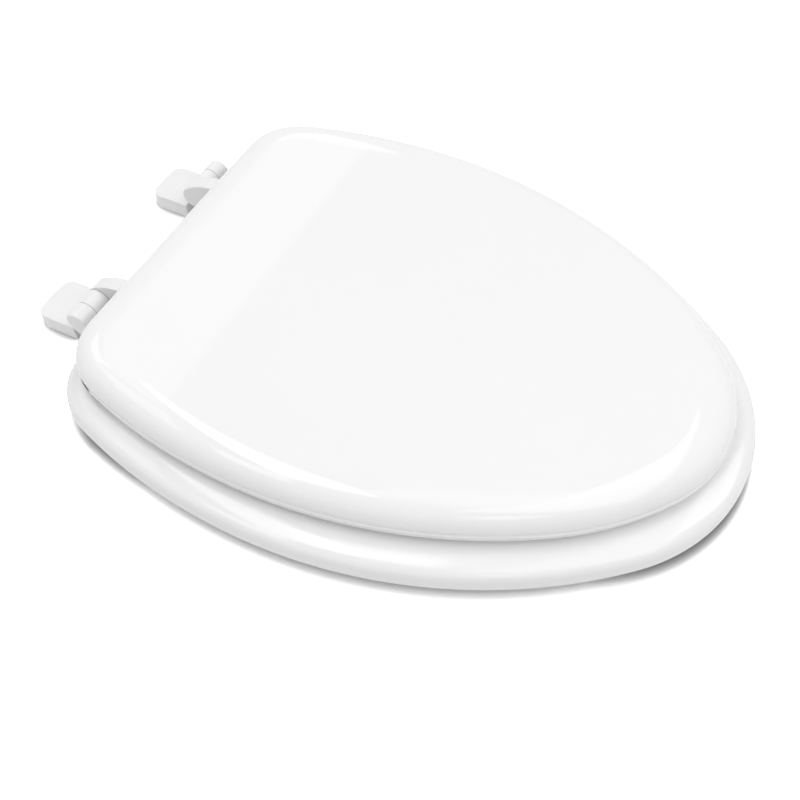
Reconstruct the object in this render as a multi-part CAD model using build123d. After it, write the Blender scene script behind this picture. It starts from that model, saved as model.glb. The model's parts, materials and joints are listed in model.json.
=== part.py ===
from build123d import *
import os
from math import cos, radians, sin

# Elongated, closed-front toilet seat with its lid down, in millimetres.
# The origin is midway between the two fixing bolts, on the rim of the bowl.
# The front of the seat points along -Y, and +Z is up.

# Fixing bolts
bolt_spacing = 139.7
bolt_hole_radius = 4.3
bolt_head_radius = 10.5
bolt_seat_thickness = 4.0

# Hinge axis, in front of the bolts and above the rim
axis_setback = 25.0
axis_height = 22.5
barrel_radius = 8.5
barrel_outer_end = 90.4
ring_knuckle_length = 12.8
post_knuckle_length = 13.2
lid_knuckle_length = 12.0
knuckle_gap = 0.4
barrel_edge_radius = 1.2
pin_radius = 2.5
pin_clearance = 0.05
pin_end_wall = 2.5

# Heights of the closed seat
ring_clearance = 7.6
ring_thickness = 20.6
lid_gap = 7.8
lid_thickness = 19.3

# Ring: tangent arcs from the front round to the straight rear edge
ring_setback = 17.8
ring_length = 426.0
ring_width = 356.0
ring_front_radius = 120.0
ring_front_turn = 14.0
ring_shoulder_radius = 128.5
ring_shoulder_turn = 48.4
ring_haunch_turn = 109.5
ring_corner_radius = 48.0
ring_upper_edge_radius = 8.6
ring_lower_edge_radius = 11.4
edge_flat = 0.4

# Opening in the ring
opening_length = 284.0
opening_width = 220.0
opening_front_band = 76.0
opening_front_radius = 88.0
opening_front_turn = 50.0
opening_haunch_turn = 122.0
opening_lower_edge_radius = 5.0

# Lid
lid_setback = 24.0
lid_length = 400.7
lid_width = 316.4
lid_front_radius = 90.0
lid_front_turn = 35.3
lid_shoulder_radius = 201.0
lid_shoulder_turn = 58.3
lid_haunch_turn = 107.6
lid_corner_radius = 44.0
lid_upper_edge_radius = 16.0

# Rim under the lid's edge, which ends short of the hinges
lid_rim_drop = 5.7
lid_rim_width = 12.0
lid_rim_edge_radius = 8.2
lid_rim_rear_gap = 47.5

# Hinge posts and their bolt caps
post_width = 37.0
post_rear = 17.0
post_height = 9.8
post_corner_radius = 8.0
post_rear_bow = 1.6
post_web_foot = 6.0
post_underside_angle = 45.0
cap_thickness = 2.0
cap_edge_radius = 0.6
cap_parting_chamfer = 0.4
cap_plug_depth = 2.5
cap_plug_wall = 2.0
cap_plug_clearance = 0.15

# Hinge leaves and their screws
leaf_plate_width = 28.0
leaf_plate_length = 34.0
leaf_plate_corner_radius = 5.0
ring_leaf_thickness = 3.6
lid_leaf_thickness = 4.0
lid_arm_radius = 9.0
lid_arm_rise = 3.5
leaf_edge_gap = 0.3
lid_plate_setback = 1.5
leaf_underside_angle = 50.0
screw_pitch = 16.0
screw_radius = 2.0
screw_hole_clearance = 0.2
screw_head_radius = 4.0
screw_head_height = 2.4
screw_depth = 11.0

# Bumpers
ring_bumper_length = 34.0
ring_bumper_width = 14.0
ring_bumper_taper = 4.0
ring_front_bumper_angle = 43.0
ring_rear_bumper_inset = 52.0
ring_rear_bumper_setback = 107.0
lid_bumper_radius = 8.0
lid_bumper_angle = 58.0
lid_bumper_inset = 10.0
bumper_edge_radius = 1.5
bumper_stem_radius = 3.0
bumper_stem_length = 6.0

# Places that follow from the sizes above
axis_y = -axis_setback
ring_rear = axis_y - ring_setback
ring_front = ring_rear - ring_length
ring_bottom = ring_clearance
ring_top = ring_bottom + ring_thickness
lid_rear = axis_y - lid_setback
lid_bottom = ring_top + lid_gap
lid_rim_low = lid_bottom - lid_rim_drop
bolt_x = bolt_spacing / 2
post_front = axis_y + barrel_radius
ring_knuckle_start = barrel_outer_end - ring_knuckle_length
post_knuckle_end = ring_knuckle_start - knuckle_gap
post_knuckle_start = post_knuckle_end - post_knuckle_length
lid_knuckle_end = post_knuckle_start - knuckle_gap
lid_knuckle_start = lid_knuckle_end - lid_knuckle_length
opening_front = ring_front + opening_front_band


def tangent_arcs(start, radii, turns):
    """A chain of arcs that leaves start along +X and turns left, each arc up to its heading in degrees."""
    arcs = []
    point, heading, turned = Vector(*start), Vector(1, 0), 0.0
    for radius, turn in zip(radii, turns):
        arc = JernArc(start=point, tangent=heading, radius=radius, arc_size=turn - turned)
        arcs.append(arc)
        point, heading, turned = arc @ 1, arc % 1, turn
    return arcs


def seat_outline(rear, length, width, front, shoulder, haunch_turn, corner_radius):
    """Outline with a straight rear edge. The side and haunch radii follow from the length and width."""
    (r0, t0), (r1, t1), t3 = front, shoulder, haunch_turn
    s0, s1, s3 = (sin(radians(t)) for t in (t0, t1, t3))
    c0, c1, c3 = (cos(radians(t)) for t in (t0, t1, t3))
    side = (width / 2 - r0 * s0 - r1 * (s1 - s0)) / (1 - s1)
    to_side = r0 * (1 - c0) + r1 * (c0 - c1) + side * c1
    haunch = (length - to_side - corner_radius * (1 + c3)) / -c3
    radii = [r0, r1, side, haunch, corner_radius]
    right = Curve() + tangent_arcs((0, rear - length), radii, [t0, t1, 90, t3, 180])
    left = mirror(right, about=Plane.YZ)
    corner = width / 2 - haunch * (1 - s3) - corner_radius * s3
    return make_face(right + left + Line((corner, rear), (-corner, rear)))


def opening_outline():
    """Egg-shaped opening. Its rear arc closes on the centre line, and its haunch follows from the length."""
    s1, s3 = (sin(radians(t)) for t in (opening_front_turn, opening_haunch_turn))
    c1, c3 = (cos(radians(t)) for t in (opening_front_turn, opening_haunch_turn))
    half = opening_width / 2
    side = (half - opening_front_radius * s1) / (1 - s1)
    to_side = opening_front_radius * (1 - c1) + side * c1
    haunch = (opening_length - to_side - (1 + c3) * half / s3) / (-c3 - (1 + c3) * (1 - s3) / s3)
    rear = (half - haunch * (1 - s3)) / s3
    radii = [opening_front_radius, side, haunch, rear]
    turns = [opening_front_turn, 90, opening_haunch_turn, 180]
    right = Curve() + tangent_arcs((0, opening_front), radii, turns)
    return make_face(right + mirror(right, about=Plane.YZ))


def along_x(profile, start, length):
    """A profile drawn in (y, z), extruded along X from start."""
    return extrude(Plane.YZ.offset(start) * profile, amount=length)


def barrel(radius, start, length):
    """A cylinder on the hinge axis."""
    return along_x(Pos(axis_y, axis_height) * Circle(radius), start, length)


def upright(radius, x, y, low, high):
    """A vertical cylinder between two heights."""
    return Pos(x, y, low) * Cylinder(radius, high - low, align=(Align.CENTER, Align.CENTER, Align.MIN))


def both_sides(right):
    """The piece made for the right side, and its mirror image."""
    return {"right": right, "left": mirror(right, about=Plane.YZ)}


# Where screws and bumpers go
leaf_middle_x = {
    "ring": ring_knuckle_start + ring_knuckle_length / 2,
    "lid": lid_knuckle_start + lid_knuckle_length / 2,
}
plate_rear = {
    "ring": ring_rear - ring_lower_edge_radius,
    "lid": lid_rear - lid_plate_setback,
}
screw_places = {
    leaf: [(leaf_middle_x[leaf] + side * screw_pitch / 2, plate_rear[leaf] - leaf_plate_length / 2)
           for side in (-1, 1)]
    for leaf in ("ring", "lid")
}
band_radius = ring_shoulder_radius - opening_front_band / 2


def on_front_band(angle, inset=0):
    """A point on the ring's front band, inwards of its middle, at an angle from the centre line."""
    turn, radius = radians(angle), band_radius - inset
    return radius * sin(turn), ring_front + ring_shoulder_radius - radius * cos(turn)


front_bumper_place = on_front_band(ring_front_bumper_angle)
rear_bumper_place = (ring_width / 2 - ring_rear_bumper_inset, ring_rear - ring_rear_bumper_setback)
lid_bumper_place = on_front_band(lid_bumper_angle, lid_bumper_inset)


def drilled(board, places, radius, face, depth):
    """Blind holes at places on the right and their mirror images, from a flat face upwards."""
    for x, y in places:
        for side in (-1, 1):
            board -= upright(radius, side * x, y, face, face + depth)
    return board


def make_seat_ring():
    outer = seat_outline(
        ring_rear, ring_length, ring_width,
        (ring_front_radius, ring_front_turn), (ring_shoulder_radius, ring_shoulder_turn),
        ring_haunch_turn, ring_corner_radius,
    )
    upper = min(ring_upper_edge_radius, (ring_thickness - edge_flat) / 2)
    lower = min(ring_lower_edge_radius, ring_thickness - edge_flat - upper)
    inner_lower = min(opening_lower_edge_radius, ring_thickness - edge_flat - upper)
    ring = extrude(Pos(0, 0, ring_bottom) * outer, amount=ring_thickness)
    ring = fillet(ring.edges().group_by(Axis.Z)[-1], upper)
    ring = fillet(ring.edges().group_by(Axis.Z)[0], lower)
    ring -= extrude(Pos(0, 0, ring_bottom) * opening_outline(), amount=ring_thickness)
    top_face = ring.faces().sort_by(Axis.Z)[-1]
    ring = fillet(top_face.inner_wires()[0].edges(), upper)
    bottom_face = ring.faces().sort_by(Axis.Z)[0]
    ring = fillet(bottom_face.inner_wires()[0].edges(), inner_lower)
    ring = drilled(ring, screw_places["ring"], screw_radius, ring_bottom, screw_depth)
    bumper_places = [front_bumper_place, rear_bumper_place]
    return drilled(ring, bumper_places, bumper_stem_radius, ring_bottom, bumper_stem_length)


def make_lid():
    outer = seat_outline(
        lid_rear, lid_length, lid_width,
        (lid_front_radius, lid_front_turn), (lid_shoulder_radius, lid_shoulder_turn),
        lid_haunch_turn, lid_corner_radius,
    )
    height = lid_thickness + lid_rim_drop
    upper = min(lid_upper_edge_radius, lid_thickness - edge_flat)
    lower = min(lid_rim_edge_radius, lid_rim_width, height - upper - edge_flat)
    lid = extrude(Pos(0, 0, lid_rim_low) * outer, amount=height)
    lid = fillet(lid.edges().group_by(Axis.Z)[-1], upper)
    lid = fillet(lid.edges().group_by(Axis.Z)[0], lower)
    lid -= extrude(Pos(0, 0, lid_rim_low) * offset(outer, -lid_rim_width), amount=lid_rim_drop)
    at_rear = (Align.CENTER, Align.MAX, Align.MIN)
    lid -= Pos(0, lid_rear, lid_rim_low) * Box(lid_width, lid_rim_rear_gap, lid_rim_drop, align=at_rear)
    lid = drilled(lid, screw_places["lid"], screw_radius, lid_bottom, screw_depth)
    return drilled(lid, [lid_bumper_place], bumper_stem_radius, lid_bottom, bumper_stem_length)


def leaf_plate(leaf, low, thickness):
    """The flat plate of a leaf, screwed to the underside of its board."""
    middle = plate_rear[leaf] - leaf_plate_length / 2
    outline = RectangleRounded(leaf_plate_width, leaf_plate_length, leaf_plate_corner_radius)
    plate = extrude(Pos(leaf_middle_x[leaf], middle, low) * outline, amount=thickness)
    for x, y in screw_places[leaf]:
        plate -= upright(screw_radius + screw_hole_clearance, x, y, low, low + thickness)
    return plate


def end_rounded(piece, end):
    """A piece made along X, with the round edges of its free end softened: 0 is the inner end, -1 the outer."""
    end_face = piece.faces().filter_by(Axis.X).sort_by(Axis.X)[end]
    return fillet(end_face.edges().filter_by(GeomType.CIRCLE), barrel_edge_radius)


def make_ring_leaf():
    """Outer knuckle, with an arm that drops behind the ring to a plate under it."""
    plate_bottom = ring_bottom - ring_leaf_thickness
    lean = radians(leaf_underside_angle)
    rear_touch = (axis_y + barrel_radius * cos(lean), axis_height - barrel_radius * sin(lean))
    drop = rear_touch[1] - plate_bottom
    heel = (rear_touch[0] - drop * sin(lean) / cos(lean), plate_bottom)
    toe_y = plate_rear["ring"] - leaf_plate_corner_radius
    arm = make_face(Polyline(
        (axis_y, axis_height), rear_touch, heel, (toe_y, plate_bottom), (toe_y, ring_bottom),
        (axis_y - barrel_radius - ring_leaf_thickness, ring_bottom),
        (axis_y - barrel_radius, ring_bottom + ring_leaf_thickness),
        (axis_y - barrel_radius, axis_height), (axis_y, axis_height),
    ))
    leaf = end_rounded(barrel(barrel_radius, ring_knuckle_start, ring_knuckle_length), -1)
    leaf += along_x(arm, ring_knuckle_start, ring_knuckle_length)
    leaf -= barrel(pin_radius + pin_clearance, ring_knuckle_start, ring_knuckle_length - pin_end_wall)
    return leaf + leaf_plate("ring", plate_bottom, ring_leaf_thickness)


def make_lid_leaf():
    """Inner knuckle, swept up in an arc behind the lid's rear edge, with a plate under the lid."""
    plate_bottom = lid_bottom - lid_leaf_thickness
    front, crest = lid_rear + leaf_edge_gap, lid_bottom + lid_arm_rise
    back, rise = axis_y - front, crest - axis_height
    sweep = (back ** 2 + rise ** 2 - lid_arm_radius ** 2) / (2 * (rise - lid_arm_radius))
    to_axis = Vector(back, sweep - rise).normalized()
    touch = (axis_y + lid_arm_radius * to_axis.X, axis_height + lid_arm_radius * to_axis.Y)
    toe_y = plate_rear["lid"] - leaf_plate_corner_radius
    underside = Polyline(
        (front, crest), (front, lid_bottom), (toe_y, lid_bottom), (toe_y, plate_bottom),
        (axis_y - lid_arm_radius - lid_leaf_thickness, plate_bottom),
        (axis_y - lid_arm_radius, axis_height), (axis_y, axis_height), touch,
    )
    arm = make_face(underside + RadiusArc(touch, (front, crest), -sweep))
    leaf = end_rounded(barrel(lid_arm_radius, lid_knuckle_start, lid_knuckle_length), 0)
    leaf += end_rounded(along_x(arm, lid_knuckle_start, lid_knuckle_length), 0)
    bore_length = lid_knuckle_length - pin_end_wall
    leaf -= barrel(pin_radius + pin_clearance, lid_knuckle_end - bore_length, bore_length)
    return leaf + leaf_plate("lid", plate_bottom, lid_leaf_thickness)


def post_outline():
    """Plan of the post and its cap: square in front, with a bowed rear edge and rounded rear corners."""
    half = post_width / 2
    left, right, corner_y = bolt_x - half, bolt_x + half, post_rear - post_rear_bow
    sides = Polyline((left, corner_y), (left, post_front), (right, post_front), (right, corner_y))
    rear = ThreePointArc((right, corner_y), (bolt_x, post_rear), (left, corner_y))
    plan = make_face(sides + rear)
    return fillet(plan.vertices().group_by(Axis.Y)[-1], post_corner_radius)


def make_hinge_post():
    """Base on the rim with the bolt's seat, and a web up to the middle knuckle."""
    base = extrude(post_outline(), amount=post_height)
    base = chamfer(base.edges().group_by(Axis.Z)[-1], cap_parting_chamfer)
    lean = radians(post_underside_angle)
    front_touch = (axis_y - barrel_radius * cos(lean), axis_height - barrel_radius * sin(lean))
    web = make_face(Polyline(
        (axis_y, axis_height), front_touch, (post_front - post_web_foot, 0), (post_front + post_web_foot, 0),
        (post_front + post_web_foot, post_height - cap_parting_chamfer),
        (post_front, post_height - cap_parting_chamfer), (post_front, axis_height), (axis_y, axis_height),
    ))
    profile = web + Pos(axis_y, axis_height) * Circle(barrel_radius)
    post = base + along_x(profile, post_knuckle_start, post_knuckle_length)
    post -= barrel(pin_radius, post_knuckle_start, post_knuckle_length)
    post -= upright(bolt_hole_radius, bolt_x, 0, 0, bolt_seat_thickness)
    return post - upright(bolt_head_radius, bolt_x, 0, bolt_seat_thickness, post_height)


def make_bolt_cap():
    """Thin cover over the bolt's head, with a round plug that snaps into the post."""
    plate = extrude(Pos(0, 0, post_height) * post_outline(), amount=cap_thickness)
    plate = fillet(plate.edges().group_by(Axis.Z)[-1], cap_edge_radius)
    plug_radius = bolt_head_radius - cap_plug_clearance
    plug_low = post_height - cap_plug_depth
    plug = upright(plug_radius, bolt_x, 0, plug_low, post_height)
    return plate + (plug - upright(plug_radius - cap_plug_wall, bolt_x, 0, plug_low, post_height))


def make_hinge_pin():
    start = lid_knuckle_start + pin_end_wall
    return barrel(pin_radius, start, barrel_outer_end - pin_end_wall - start)


def make_leaf_screws(leaf, board_face, plate_thickness):
    """Pan-head screws up through a leaf's plate into its board."""
    seat = board_face - plate_thickness
    screws = []
    for x, y in screw_places[leaf]:
        head = upright(screw_head_radius, x, y, seat - screw_head_height, seat)
        head = fillet(head.edges().group_by(Axis.Z)[0], screw_head_height / 2)
        screws.append(head + upright(screw_radius, x, y, seat, board_face + screw_depth))
    return Compound(children=screws)


def make_ring_bumper(place, turn):
    """Tapered oblong pad that stands on the rim, with a stem in the ring."""
    outline = Pos(*place, ring_bottom) * Rot(0, 0, turn) * SlotOverall(ring_bumper_length, ring_bumper_width)
    pad = extrude(outline, amount=-ring_bottom, taper=ring_bumper_taper)
    pad = fillet(pad.edges().group_by(Axis.Z)[0], bumper_edge_radius)
    return pad + upright(bumper_stem_radius, *place, ring_bottom, ring_bottom + bumper_stem_length)


def make_lid_bumper():
    """Round pad between the lid and the ring, with a stem in the lid."""
    pad = upright(lid_bumper_radius, *lid_bumper_place, ring_top, lid_bottom)
    pad = fillet(pad.edges().group_by(Axis.Z)[0], bumper_edge_radius)
    return pad + upright(bumper_stem_radius, *lid_bumper_place, lid_bottom, lid_bottom + bumper_stem_length)


nodes = {"seat_ring": make_seat_ring(), "lid": make_lid()}
paired = {
    "ring_leaf": make_ring_leaf(),
    "lid_leaf": make_lid_leaf(),
    "hinge_post": make_hinge_post(),
    "bolt_cap": make_bolt_cap(),
    "hinge_pin": make_hinge_pin(),
    "ring_leaf_screws": make_leaf_screws("ring", ring_bottom, ring_leaf_thickness),
    "lid_leaf_screws": make_leaf_screws("lid", lid_bottom, lid_leaf_thickness),
    "ring_front_bumper": make_ring_bumper(front_bumper_place, ring_front_bumper_angle),
    "ring_rear_bumper": make_ring_bumper(rear_bumper_place, 90),
    "lid_bumper": make_lid_bumper(),
}
for name, right in paired.items():
    for side, piece in both_sides(right).items():
        nodes[f"{name}_{side}"] = piece

os.makedirs("parts", exist_ok=True)
for name, piece in nodes.items():
    export_step(piece, f"parts/{name}.step")
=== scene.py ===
import json
import math
import bmesh
import bpy
from mathutils import Matrix, Vector


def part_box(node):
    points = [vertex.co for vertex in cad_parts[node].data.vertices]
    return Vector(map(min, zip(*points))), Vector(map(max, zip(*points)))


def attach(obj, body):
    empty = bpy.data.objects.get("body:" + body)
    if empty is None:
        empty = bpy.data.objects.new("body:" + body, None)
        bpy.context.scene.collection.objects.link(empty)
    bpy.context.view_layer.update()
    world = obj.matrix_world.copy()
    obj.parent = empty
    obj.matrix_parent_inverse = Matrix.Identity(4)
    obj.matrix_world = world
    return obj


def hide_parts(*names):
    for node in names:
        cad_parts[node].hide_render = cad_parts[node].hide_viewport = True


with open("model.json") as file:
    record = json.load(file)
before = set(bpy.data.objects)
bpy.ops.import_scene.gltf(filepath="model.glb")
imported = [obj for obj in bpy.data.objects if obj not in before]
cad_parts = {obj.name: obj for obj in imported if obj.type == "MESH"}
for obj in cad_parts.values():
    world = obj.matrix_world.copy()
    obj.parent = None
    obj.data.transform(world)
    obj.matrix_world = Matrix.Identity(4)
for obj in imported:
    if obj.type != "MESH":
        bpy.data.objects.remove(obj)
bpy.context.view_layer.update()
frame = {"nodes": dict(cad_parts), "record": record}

mm = 0.001
weldGap = 0.01 * mm  # points nearer than this are one point
levelGap = 0.001 * mm  # heights nearer than this are one height
squareGap = 0.1  # radians off a right angle, for an edge that still counts as square
leastSteps = 4  # of a spun arc
nodes = frame["nodes"]
print("frame loaded:", len(nodes), "nodes")


# Outlines of the boards
def headingVector(degrees):
    turn = math.radians(degrees)
    return Vector((math.cos(turn), math.sin(turn), 0))


# One side of an outline: a vertex at the front is spun from one tangent arc into the next.
def spinArcs(bm, front, z, radii, turns, stepMm):
    tip = bm.verts.new((0, front, z))
    heading = 0
    for radius, turn in zip(radii, turns):
        centre = tip.co + radius * headingVector(heading + 90)
        steps = max(leastSteps, round(math.radians(turn - heading) * radius / (stepMm * mm)))
        spun = bmesh.ops.spin(bm, geom=[tip], cent=centre, axis=(0, 0, 1),
                              angle=math.radians(turn - heading), steps=steps)
        tip = spun["geom_last"][0]
        heading = turn
    return tip


def mirrorAndJoin(bm):
    bmesh.ops.mirror(bm, geom=bm.verts[:] + bm.edges[:], axis="X", merge_dist=weldGap)
    bmesh.ops.remove_doubles(bm, verts=bm.verts, dist=weldGap)


# Outline with a straight rear edge. The side and haunch radii follow from the board's length and width.
def seatOutline(bm, low, high, z, shape):
    front, rear, half = low.y, high.y, high.x
    r0, r1, rCorner = (shape[k] * mm for k in ("frontRadius", "shoulderRadius", "cornerRadius"))
    t0, t1, t3 = shape["frontTurn"], shape["shoulderTurn"], shape["haunchTurn"]
    s0, s1 = math.sin(math.radians(t0)), math.sin(math.radians(t1))
    c0, c1, c3 = (math.cos(math.radians(t)) for t in (t0, t1, t3))
    side = (half - r0 * s0 - r1 * (s1 - s0)) / (1 - s1)
    toSide = r0 * (1 - c0) + r1 * (c0 - c1) + side * c1
    haunch = (rear - front - toSide - rCorner * (1 + c3)) / -c3
    tip = spinArcs(bm, front, z, [r0, r1, side, haunch, rCorner], [t0, t1, 90, t3, 180], shape["stepMm"])
    middle = bmesh.ops.extrude_vert_indiv(bm, verts=[tip])["verts"][0]
    middle.co.x = 0
    mirrorAndJoin(bm)


# Egg-shaped opening, closed by its rear arc on the centre line.
def openingOutline(bm, front, length, half, z, shape):
    r0 = shape["frontRadius"] * mm
    t0, t2 = shape["frontTurn"], shape["haunchTurn"]
    s0, s2 = math.sin(math.radians(t0)), math.sin(math.radians(t2))
    c0, c2 = math.cos(math.radians(t0)), math.cos(math.radians(t2))
    side = (half - r0 * s0) / (1 - s0)
    toSide = r0 * (1 - c0) + side * c0
    haunch = (length - toSide - (1 + c2) * half / s2) / (-c2 - (1 + c2) * (1 - s2) / s2)
    rearRadius = (half - haunch * (1 - s2)) / s2
    tip = spinArcs(bm, front, z, [r0, side, haunch, rearRadius], [t0, 90, t2, 180], shape["stepMm"])
    tip.co.x = 0
    mirrorAndJoin(bm)


# Rounds every edge loop at one height to an ellipse: the mesh is stretched so that the bevel is round.
def roundRim(bm, edges, across, high, segments, profile):
    stretch = Matrix.Diagonal((1, 1, across / high, 1))
    bmesh.ops.transform(bm, matrix=stretch, verts=bm.verts)
    bmesh.ops.bevel(bm, geom=edges, offset=across, offset_type="OFFSET", segments=segments,
                    profile=profile, affect="EDGES", material=-1, clamp_overlap=False)
    bmesh.ops.transform(bm, matrix=stretch.inverted(), verts=bm.verts)


def edgesAt(bm, z):
    return [e for e in bm.edges if all(abs(v.co.z - z) < levelGap for v in e.verts)]


def squareEdgesAt(bm, z):
    edges = [e for e in edgesAt(bm, z) if e.is_manifold]
    return [e for e in edges if abs(e.calc_face_angle() - math.pi / 2) < squareGap]


def lift(bm, extruded, height):
    verts = [g for g in extruded["geom"] if isinstance(g, bmesh.types.BMVert)]
    bmesh.ops.translate(bm, vec=(0, 0, height), verts=verts)


def insetFace(bm, face, widthMm):
    bmesh.ops.inset_individual(bm, faces=[face], thickness=widthMm * mm, use_even_offset=True)


def finishPiece(bm, name, material, body, replaced, sharpDegrees=35):
    bmesh.ops.recalc_face_normals(bm, faces=bm.faces)
    mesh = bpy.data.meshes.new(name)
    bm.to_mesh(mesh)
    bm.free()
    for face in mesh.polygons:
        face.use_smooth = True
    mesh.set_sharp_from_angle(angle=math.radians(sharpDegrees))
    piece = bpy.data.objects.new(name, mesh)
    bpy.context.scene.collection.objects.link(piece)
    mesh.materials.append(material)
    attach(piece, body)
    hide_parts(*replaced)
    print(name, "made:", len(mesh.polygons), "faces")
    return piece


# Materials
def newGroup(name, takes, gives):
    group = bpy.data.node_groups.new(name, "ShaderNodeTree")
    for label, kind in takes:
        group.interface.new_socket(label, in_out="INPUT", socket_type=kind)
    for label, kind in gives:
        group.interface.new_socket(label, in_out="OUTPUT", socket_type=kind)
    return group, group.nodes.new("NodeGroupInput"), group.nodes.new("NodeGroupOutput")


def addNode(tree, kind, **settings):
    node = tree.nodes.new(kind)
    for key, value in settings.items():
        setattr(node, key, value)
    return node


# Slow drift of tone and gloss over a surface, as a coat or a moulding has.
driftDetail = 3.0
driftFrom = (0.3, 0.7)


def makeDriftGroup():
    group, take, give = newGroup(
        "tone and gloss drift",
        [("Vector", "NodeSocketVector"), ("Scale", "NodeSocketFloat"),
         ("Light Tone", "NodeSocketColor"), ("Dark Tone", "NodeSocketColor"),
         ("Smoothest", "NodeSocketFloat"), ("Roughest", "NodeSocketFloat")],
        [("Colour", "NodeSocketColor"), ("Roughness", "NodeSocketFloat")])
    broad = addNode(group, "ShaderNodeTexNoise")
    broad.inputs["Detail"].default_value = driftDetail
    spread = addNode(group, "ShaderNodeMapRange", interpolation_type="SMOOTHSTEP")
    spread.inputs["From Min"].default_value, spread.inputs["From Max"].default_value = driftFrom
    tone = addNode(group, "ShaderNodeMix", data_type="RGBA")
    gloss = addNode(group, "ShaderNodeMapRange")
    link = group.links.new
    link(take.outputs["Vector"], broad.inputs["Vector"])
    link(take.outputs["Scale"], broad.inputs["Scale"])
    link(broad.outputs["Fac"], spread.inputs["Value"])
    link(spread.outputs["Result"], tone.inputs["Factor"])
    link(take.outputs["Light Tone"], tone.inputs["A"])
    link(take.outputs["Dark Tone"], tone.inputs["B"])
    link(spread.outputs["Result"], gloss.inputs["Value"])
    link(take.outputs["Smoothest"], gloss.inputs["To Min"])
    link(take.outputs["Roughest"], gloss.inputs["To Max"])
    link(tone.outputs["Result"], give.inputs["Colour"])
    link(gloss.outputs["Result"], give.inputs["Roughness"])
    return group


# Fine relief: soft waves of a sprayed coat, grain of a mould or lines of drawn metal.
def makeReliefGroup():
    group, take, give = newGroup(
        "fine relief",
        [("Vector", "NodeSocketVector"), ("Stretch", "NodeSocketVector"),
         ("Scale", "NodeSocketFloat"), ("Detail", "NodeSocketFloat")],
        [("Height", "NodeSocketFloat")])
    stretch = addNode(group, "ShaderNodeVectorMath", operation="MULTIPLY")
    grain = addNode(group, "ShaderNodeTexNoise")
    link = group.links.new
    link(take.outputs["Vector"], stretch.inputs[0])
    link(take.outputs["Stretch"], stretch.inputs[1])
    link(stretch.outputs["Vector"], grain.inputs["Vector"])
    link(take.outputs["Scale"], grain.inputs["Scale"])
    link(take.outputs["Detail"], grain.inputs["Detail"])
    link(grain.outputs["Fac"], give.inputs["Height"])
    return group


driftGroup = makeDriftGroup()
reliefGroup = makeReliefGroup()
finishes = {
    "gloss enamel": {
        "light": (0.86, 0.86, 0.86), "dark": (0.853, 0.853, 0.853), "driftScale": 9.0,
        "roughness": (0.02, 0.035), "metallic": 0.0, "stretch": (1, 1, 1),
        "reliefScale": 190.0, "reliefDetail": 1.0, "reliefMm": 0.004},
    # The ring's enamel is the lid's white painted a little darker all over, as painted shade for its
    # sides; it is also rougher.
    "satin enamel with painted shade": {
        "light": (0.84, 0.84, 0.84), "dark": (0.83, 0.83, 0.83), "driftScale": 9.0,
        "roughness": (0.08, 0.12), "metallic": 0.0, "stretch": (1, 1, 1),
        "reliefScale": 260.0, "reliefDetail": 2.0, "reliefMm": 0.006},
    "moulded hinge plastic": {
        "light": (0.84, 0.84, 0.84), "dark": (0.82, 0.82, 0.82), "driftScale": 40.0,
        "roughness": (0.15, 0.24), "metallic": 0.0, "stretch": (1, 1, 1),
        "reliefScale": 2200.0, "reliefDetail": 2.0, "reliefMm": 0.01},
    "drawn steel": {
        "light": (0.62, 0.63, 0.64), "dark": (0.5, 0.51, 0.52), "driftScale": 160.0,
        "roughness": (0.25, 0.4), "metallic": 1.0, "stretch": (0.03, 1, 1),
        "reliefScale": 900.0, "reliefDetail": 4.0, "reliefMm": 0.01},
    "zinc plate": {
        "light": (0.68, 0.68, 0.66), "dark": (0.55, 0.55, 0.56), "driftScale": 320.0,
        "roughness": (0.28, 0.45), "metallic": 1.0, "stretch": (1, 1, 0.2),
        "reliefScale": 2600.0, "reliefDetail": 3.0, "reliefMm": 0.012},
    "soft rubber": {
        "light": (0.82, 0.82, 0.8), "dark": (0.76, 0.76, 0.74), "driftScale": 90.0,
        "roughness": (0.6, 0.75), "metallic": 0.0, "stretch": (1, 1, 1),
        "reliefScale": 3200.0, "reliefDetail": 3.0, "reliefMm": 0.02},
}


def makeFinish(name):
    finish = finishes[name]
    material = bpy.data.materials.new(name)
    material.use_nodes = True
    tree = material.node_tree
    shader = tree.nodes["Principled BSDF"]
    shader.inputs["Metallic"].default_value = finish["metallic"]
    place = addNode(tree, "ShaderNodeTexCoord")
    drift = addNode(tree, "ShaderNodeGroup", node_tree=driftGroup)
    drift.inputs["Scale"].default_value = finish["driftScale"]
    drift.inputs["Light Tone"].default_value = (*finish["light"], 1)
    drift.inputs["Dark Tone"].default_value = (*finish["dark"], 1)
    drift.inputs["Smoothest"].default_value, drift.inputs["Roughest"].default_value = finish["roughness"]
    relief = addNode(tree, "ShaderNodeGroup", node_tree=reliefGroup)
    relief.inputs["Scale"].default_value = finish["reliefScale"]
    relief.inputs["Detail"].default_value = finish["reliefDetail"]
    relief.inputs["Stretch"].default_value = finish["stretch"]
    bump = addNode(tree, "ShaderNodeBump")
    bump.inputs["Distance"].default_value = finish["reliefMm"] * mm
    link = tree.links.new
    link(place.outputs["Object"], drift.inputs["Vector"])
    link(place.outputs["Object"], relief.inputs["Vector"])
    link(drift.outputs["Colour"], shader.inputs["Base Color"])
    link(drift.outputs["Roughness"], shader.inputs["Roughness"])
    link(relief.outputs["Height"], bump.inputs["Height"])
    link(bump.outputs["Normal"], shader.inputs["Normal"])
    return material


glossEnamel, shadedSatinEnamel, hingePlastic, drawnSteel, zincPlate, softRubber = (
    makeFinish(name) for name in finishes)
print("finishes made:", len(finishes))

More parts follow.
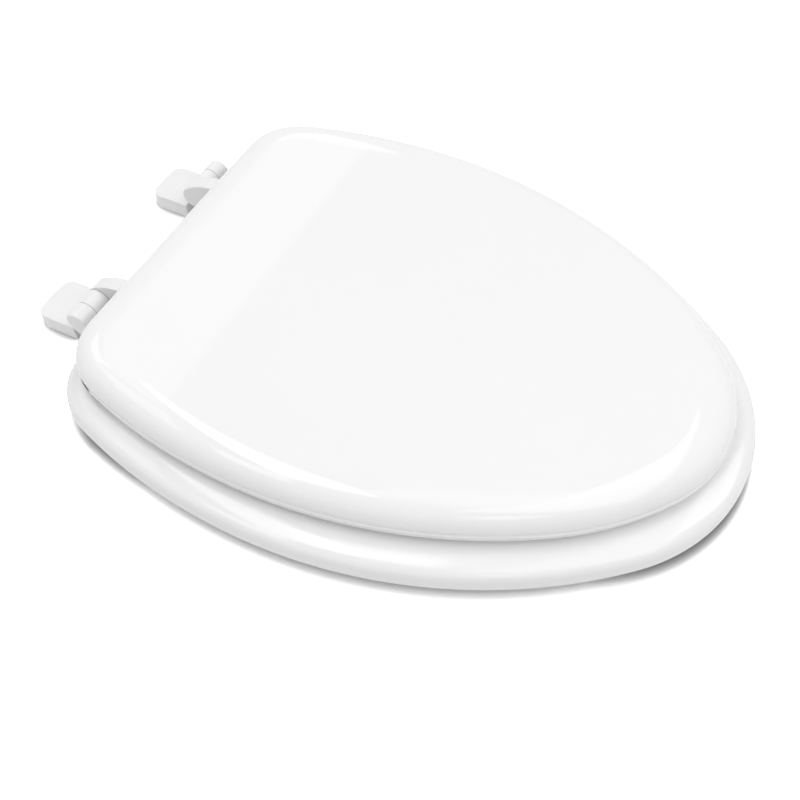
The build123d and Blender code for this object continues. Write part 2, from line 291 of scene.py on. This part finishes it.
# Lid: its rim drops below the flat underside and fades out before the hinges.
lidShape = {
    "frontRadius": 90.0, "frontTurn": 35.3, "shoulderRadius": 201.0, "shoulderTurn": 58.3,
    "haunchTurn": 107.6, "cornerRadius": 44.0, "stepMm": 2.5,
    "topAcross": 24.0, "topHigh": 16.8, "topProfile": 0.587, "topSegments": 32,
    "lipAcross": 8.0, "lipHigh": 8.2, "lipProfile": 0.5, "lipSegments": 30,
    "rimDrop": 5.7, "rimFlat": 4.0, "rimEnd": -84.0, "rimFade": 25.0,
    "flatSides": 8, "flatBorder": 1.5,  # a border inside each face with more sides than this
    "edgeWaves": ((3.0, 5.0, 0.95), (4.6, 12.0, -0.5)),
}


# Moves points out or in by half-waves of their height, each with its start, end and most in millimetres.
def swell(bm, verts, low, waves):
    bm.normal_update()
    for vert in verts:
        high = (vert.co.z - low) / mm
        outward = Vector((vert.normal.x, vert.normal.y, 0)).normalized()
        for begin, end, most in waves:
            if begin < high < end:
                vert.co += outward * most * mm * math.sin(math.pi * (high - begin) / (end - begin))


def makeLid():
    low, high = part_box("lid")
    under = low.z + lidShape["rimDrop"] * mm
    bm = bmesh.new()
    seatOutline(bm, low, high, low.z, lidShape)
    bmesh.ops.contextual_create(bm, geom=bm.edges[:])
    lift(bm, bmesh.ops.extrude_face_region(bm, geom=bm.faces[:]), high.z - low.z)
    roundRim(bm, edgesAt(bm, high.z), lidShape["topAcross"] * mm, lidShape["topHigh"] * mm,
             lidShape["topSegments"], lidShape["topProfile"])
    roundRim(bm, edgesAt(bm, low.z), lidShape["lipAcross"] * mm, lidShape["lipHigh"] * mm,
             lidShape["lipSegments"], lidShape["lipProfile"])
    swell(bm, bm.verts, low.z, lidShape["edgeWaves"])
    bottom = min(bm.faces, key=lambda f: f.calc_center_median().z)
    insetFace(bm, bottom, lidShape["rimFlat"])
    lift(bm, bmesh.ops.extrude_face_region(bm, geom=[bottom]), under - low.z)
    bmesh.ops.delete(bm, geom=[bottom], context="FACES_ONLY")
    for vert in bm.verts:
        if vert.co.z < under:
            kept = (lidShape["rimEnd"] * mm - vert.co.y) / (lidShape["rimFade"] * mm)
            vert.co.z = under - (under - vert.co.z) * min(1, max(0, kept))
    bmesh.ops.dissolve_degenerate(bm, edges=bm.edges, dist=weldGap)
    for face in [f for f in bm.faces if len(f.verts) > lidShape["flatSides"]]:
        insetFace(bm, face, lidShape["flatBorder"])
    finishPiece(bm, "lid_board", glossEnamel, "lid", ["lid"])


# Seat ring
ringShape = {
    "frontRadius": 120.0, "frontTurn": 14.0, "shoulderRadius": 128.5, "shoulderTurn": 48.4,
    "haunchTurn": 109.5, "cornerRadius": 48.0, "stepMm": 2.5,
    "topAcross": 20.0, "topHigh": 8.65, "topProfile": 0.56,
    "underAcross": 9.5, "underHigh": 11.85, "underProfile": 0.5, "segments": 24,
    "sideWaves": ((1.4, 6.8, 0.25), (6.8, 18.6, -1.4)),
    "bandMiddle": -253.0, "bandReach": (144.0, 175.0),  # an ellipse along the band, inside its outer side
}
openingShape = {
    "frontBand": 76.0, "length": 284.0, "width": 220.0,
    "frontRadius": 88.0, "frontTurn": 50.0, "haunchTurn": 122.0, "stepMm": 2.5,
}


def makeRing():
    low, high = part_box("seat_ring")
    bm = bmesh.new()
    seatOutline(bm, low, high, low.z, ringShape)
    inner = bmesh.new()
    openingOutline(inner, low.y + openingShape["frontBand"] * mm, openingShape["length"] * mm,
                   openingShape["width"] * mm / 2, low.z, openingShape)
    holder = bpy.data.meshes.new("opening_outline")
    inner.to_mesh(holder)
    inner.free()
    bm.from_mesh(holder)
    bpy.data.meshes.remove(holder)
    bmesh.ops.triangle_fill(bm, edges=bm.edges[:], use_beauty=True, use_dissolve=False)
    bmesh.ops.recalc_face_normals(bm, faces=bm.faces)
    lift(bm, bmesh.ops.extrude_face_region(bm, geom=bm.faces[:]), high.z - low.z)
    for z, side in ((high.z, "top"), (low.z, "under")):
        roundRim(bm, squareEdgesAt(bm, z), ringShape[side + "Across"] * mm, ringShape[side + "High"] * mm,
                 ringShape["segments"], ringShape[side + "Profile"])
    reachX, reachY = (reach * mm for reach in ringShape["bandReach"])
    middle = ringShape["bandMiddle"] * mm
    outer = [v for v in bm.verts if math.hypot(v.co.x / reachX, (v.co.y - middle) / reachY) > 1]
    swell(bm, outer, low.z, ringShape["sideWaves"])
    return finishPiece(bm, "ring_board", shadedSatinEnamel, "ring", ["seat_ring"])


makeLid()
ring = makeRing()

# The other solids keep their shapes and take their finishes.
slotFinishes = {"hinge_plastic": hingePlastic, "pin_steel": drawnSteel, "screw_steel": zincPlate,
                "bumper_rubber": softRubber}
for row in frame["record"]["subparts"]:
    if row["material_slot"] in slotFinishes:
        nodes[row["node"]].data.materials[0] = slotFinishes[row["material_slot"]]

# Camera
view = {"azimuth": -64.81, "elevation": 54.18, "roll": 0.84, "distance": 605.09,
        "target": (-35.32, -244.35, 0.0), "lens": 40.27, "sensor": 36.0}


def makeCamera():
    az, el, roll = (math.radians(view[k]) for k in ("azimuth", "elevation", "roll"))
    back = Vector((math.sin(az) * math.cos(el), -math.cos(az) * math.cos(el), math.sin(el)))
    right = Vector((math.cos(az), math.sin(az), 0))
    up = back.cross(right)
    rolledRight = math.cos(roll) * right + math.sin(roll) * up
    rolledUp = -math.sin(roll) * right + math.cos(roll) * up
    data = bpy.data.cameras.new("photo camera")
    data.lens, data.sensor_width = view["lens"], view["sensor"]
    camera = bpy.data.objects.new("photo camera", data)
    turned = Matrix((rolledRight, rolledUp, back)).transposed().to_4x4()
    turned.translation = Vector(view["target"]) * mm + back * view["distance"] * mm
    camera.matrix_world = turned
    bpy.context.scene.collection.objects.link(camera)
    bpy.context.scene.camera = camera


makeCamera()

# Floor and light. A softbox with a cut keeps only what is left of the line between the cut's two points.
# A gloss card lights nothing but the gloss of every piece, and a ring card only that of the ring.
studio = {
    "floorHalf": 6.0, "floorColour": 0.9, "floorMirrored": 1.0, "floorSeen": 2.5,
    # The floor's contact shadow is painted: its reach, samples, depth, least value, painted fill point
    # and easing round the hinges.
    "paintedShadowReach": 0.014, "paintedShadowSamples": 24, "paintedShadowPower": (1.6, 7.0), "paintedShadowLeast": 0.08,
    "paintedFillAt": (-0.315, -0.306, 0), "paintedFillFades": (0.228, 0.343),
    "paintedShadowRearFrom": (-0.08, -0.03), "paintedShadowRearPower": 0.35,
    "skyLow": 0.26, "skyHigh": 1.04, "skySeen": 1.0,
    "softboxes": [
        {"name": "softbox over the left side", "at": (0.06, 0.22, 1.2), "size": (1.02, 0.38), "turn": 30,
         "radiance": 2.6, "cut": ((-0.08, -0.15), (0.39, 0.54))},
        {"name": "softbox over the front", "at": (0.25, -1.15, 1.2), "size": (1.4, 1.3), "turn": 0,
         "radiance": 1.55, "cut": ((-0.43, -1.77), (0.92, -0.52))},
        {"name": "softbox over the rear", "at": (0.24, 1.10, 1.2), "size": (0.62, 0.36), "turn": 42,
         "radiance": 1.6, "cut": None},
        {"name": "softbox on the far side", "at": (1.7, 0.705, 1.2), "size": (0.65, 0.39), "turn": 10,
         "radiance": 1.6, "cut": ((1.42, 0.46), (1.98, 0.95))},
    ],
    "glossCards": [
        {"name": "card over the rear", "at": (0.8, 0.69, 1.21), "size": (1.5, 0.28), "turn": 0,
         "radiance": 0.62},
        {"name": "card over the rear corner", "at": (-0.3, 0.75, 1.21), "size": (0.5, 0.4), "turn": 0,
         "radiance": 1.1},
        {"name": "card on the left", "at": (-0.68, 0.25, 1.21), "size": (0.4, 0.35), "turn": 0,
         "radiance": 1.9},
        {"name": "card on the left front", "at": (-0.98, -1.02, 1.21), "size": (0.5, 0.4), "turn": 0,
         "radiance": 1.9},
        {"name": "card over the left front", "at": (0.1, -0.28, 1.21), "size": (0.6, 0.4), "turn": 0,
         "radiance": 0.7},
    ],
    "ringCards": [
        {"name": "card for the ring's side", "at": (-0.1, -0.13, 1.22), "size": (0.5, 0.4), "turn": 18,
         "radiance": 2.2},
        {"name": "card for the ring's front", "at": (0.75, -1.1, 1.22), "size": (0.6, 0.7), "turn": 42,
         "radiance": 2.8},
    ],
}


# The floor's contact shadow is painted into its colour as the camera sees it. The painted shadow is
# shallower towards a painted fill point and round the hinges.
def makeFloor():
    bm = bmesh.new()
    bmesh.ops.create_grid(bm, x_segments=1, y_segments=1, size=studio["floorHalf"])
    mesh = bpy.data.meshes.new("floor")
    bm.to_mesh(mesh)
    bm.free()
    floor = bpy.data.objects.new("floor", mesh)
    bpy.context.scene.collection.objects.link(floor)
    material = bpy.data.materials.new("studio floor")
    material.use_nodes = True
    tree = material.node_tree
    tree.nodes.clear()
    output = addNode(tree, "ShaderNodeOutputMaterial")
    path = addNode(tree, "ShaderNodeLightPath")
    mirrored = addNode(tree, "ShaderNodeMath", operation="MAXIMUM")
    tone = addNode(tree, "ShaderNodeMix", data_type="FLOAT")
    tone.inputs["A"].default_value = studio["floorColour"]
    tone.inputs["B"].default_value = studio["floorMirrored"]
    plain = addNode(tree, "ShaderNodeBsdfDiffuse")
    # Painted shadow: ambient occlusion darkens the floor's colour as the camera sees it.
    paintedShadow = addNode(tree, "ShaderNodeAmbientOcclusion", samples=studio["paintedShadowSamples"])
    paintedShadow.inputs["Distance"].default_value = studio["paintedShadowReach"]
    place = addNode(tree, "ShaderNodeNewGeometry")
    # Painted fill: the painted shadow is shallower nearer this point and deeper away from it.
    fromPaintedFill = addNode(tree, "ShaderNodeVectorMath", operation="DISTANCE")
    fromPaintedFill.inputs[1].default_value = studio["paintedFillAt"]
    depth = addNode(tree, "ShaderNodeMapRange")
    depth.inputs["From Min"].default_value, depth.inputs["From Max"].default_value = studio["paintedFillFades"]
    depth.inputs["To Min"].default_value, depth.inputs["To Max"].default_value = studio["paintedShadowPower"]
    split = addNode(tree, "ShaderNodeSeparateXYZ")
    # The painted shadow is eased towards the rear, round the hinges.
    rear = addNode(tree, "ShaderNodeMapRange")
    rear.inputs["From Min"].default_value, rear.inputs["From Max"].default_value = studio["paintedShadowRearFrom"]
    rear.inputs["To Min"].default_value, rear.inputs["To Max"].default_value = 1.0, studio["paintedShadowRearPower"]
    eased = addNode(tree, "ShaderNodeMath", operation="MULTIPLY")
    deep = addNode(tree, "ShaderNodeMath", operation="POWER")
    kept = addNode(tree, "ShaderNodeMath", operation="MAXIMUM")
    kept.inputs[1].default_value = studio["paintedShadowLeast"]
    bright = addNode(tree, "ShaderNodeMath", operation="MULTIPLY")
    bright.inputs[1].default_value = studio["floorSeen"]
    seen = addNode(tree, "ShaderNodeBsdfDiffuse")
    either = addNode(tree, "ShaderNodeMixShader")
    link = tree.links.new
    link(path.outputs["Is Glossy Ray"], mirrored.inputs[0])
    link(path.outputs["Is Transmission Ray"], mirrored.inputs[1])
    link(mirrored.outputs["Value"], tone.inputs["Factor"])
    link(tone.outputs["Result"], plain.inputs["Color"])
    link(place.outputs["Position"], fromPaintedFill.inputs[0])
    link(fromPaintedFill.outputs["Value"], depth.inputs["Value"])
    link(place.outputs["Position"], split.inputs["Vector"])
    link(split.outputs["Y"], rear.inputs["Value"])
    link(depth.outputs["Result"], eased.inputs[0])
    link(rear.outputs["Result"], eased.inputs[1])
    link(paintedShadow.outputs["AO"], deep.inputs[0])
    link(eased.outputs["Value"], deep.inputs[1])
    link(deep.outputs["Value"], kept.inputs[0])
    link(kept.outputs["Value"], bright.inputs[0])
    link(bright.outputs["Value"], seen.inputs["Color"])
    link(path.outputs["Is Camera Ray"], either.inputs["Fac"])
    link(plain.outputs["BSDF"], either.inputs[1])
    link(seen.outputs["BSDF"], either.inputs[2])
    link(either.outputs["Shader"], output.inputs["Surface"])
    mesh.materials.append(material)


# Cuts a corner off a lamp by the place of each point on it.
def cutSoftbox(light, cut):
    start, end = (Vector(point) for point in cut)
    inwards = Vector((start.y - end.y, end.x - start.x)).normalized()
    light.use_nodes = True
    tree = light.node_tree
    emission = tree.nodes["Emission"]
    place = addNode(tree, "ShaderNodeNewGeometry")
    across = addNode(tree, "ShaderNodeVectorMath", operation="DOT_PRODUCT")
    across.inputs[1].default_value = (*inwards, 0)
    inside = addNode(tree, "ShaderNodeMath", operation="GREATER_THAN")
    inside.inputs[1].default_value = inwards.dot(start)
    tree.links.new(place.outputs["Position"], across.inputs[0])
    tree.links.new(across.outputs["Value"], inside.inputs[0])
    tree.links.new(inside.outputs["Value"], emission.inputs["Strength"])


def makeLamp(box):
    light = bpy.data.lights.new(box["name"], "AREA")
    light.shape = "RECTANGLE"
    light.size, light.size_y = box["size"]
    light.energy = box["radiance"] * math.pi * light.size * light.size_y
    lamp = bpy.data.objects.new(box["name"], light)
    lamp.location = box["at"]
    lamp.rotation_euler.z = math.radians(box["turn"])
    lamp.visible_camera = False
    bpy.context.scene.collection.objects.link(lamp)
    return lamp


makeFloor()
for box in studio["softboxes"]:
    softbox = makeLamp(box)
    if box["cut"]:
        cutSoftbox(softbox.data, box["cut"])
ringOnly = bpy.data.collections.new("ring gloss")
ringOnly.objects.link(ring)
for box in studio["glossCards"] + studio["ringCards"]:
    card = makeLamp(box)
    card.visible_diffuse = False
    if box in studio["ringCards"]:
        card.light_linking.receiver_collection = ringOnly


# The sky is brighter overhead than at the horizon, and white wherever it is seen.
def makeSky():
    world = bpy.data.worlds.new("studio sky")
    world.use_nodes = True
    tree = world.node_tree
    background = tree.nodes["Background"]
    background.inputs["Color"].default_value = (1, 1, 1, 1)
    place = addNode(tree, "ShaderNodeTexCoord")
    split = addNode(tree, "ShaderNodeSeparateXYZ")
    rise = addNode(tree, "ShaderNodeMapRange")
    rise.inputs["To Min"].default_value = studio["skyLow"]
    rise.inputs["To Max"].default_value = studio["skyHigh"]
    path = addNode(tree, "ShaderNodeLightPath")
    direct = addNode(tree, "ShaderNodeMath", operation="MAXIMUM")
    shown = addNode(tree, "ShaderNodeMath", operation="MAXIMUM")
    strength = addNode(tree, "ShaderNodeMix", data_type="FLOAT")
    strength.inputs["B"].default_value = studio["skySeen"]
    link = tree.links.new
    link(place.outputs["Generated"], split.inputs["Vector"])
    link(split.outputs["Z"], rise.inputs["Value"])
    link(path.outputs["Is Camera Ray"], direct.inputs[0])
    link(path.outputs["Is Glossy Ray"], direct.inputs[1])
    link(direct.outputs["Value"], shown.inputs[0])
    link(path.outputs["Is Transmission Ray"], shown.inputs[1])
    link(shown.outputs["Value"], strength.inputs["Factor"])
    link(rise.outputs["Result"], strength.inputs["A"])
    link(strength.outputs["Result"], background.inputs["Strength"])
    bpy.context.scene.world = world


makeSky()
bpy.context.scene.view_settings.view_transform = "Standard"
print("studio lit")
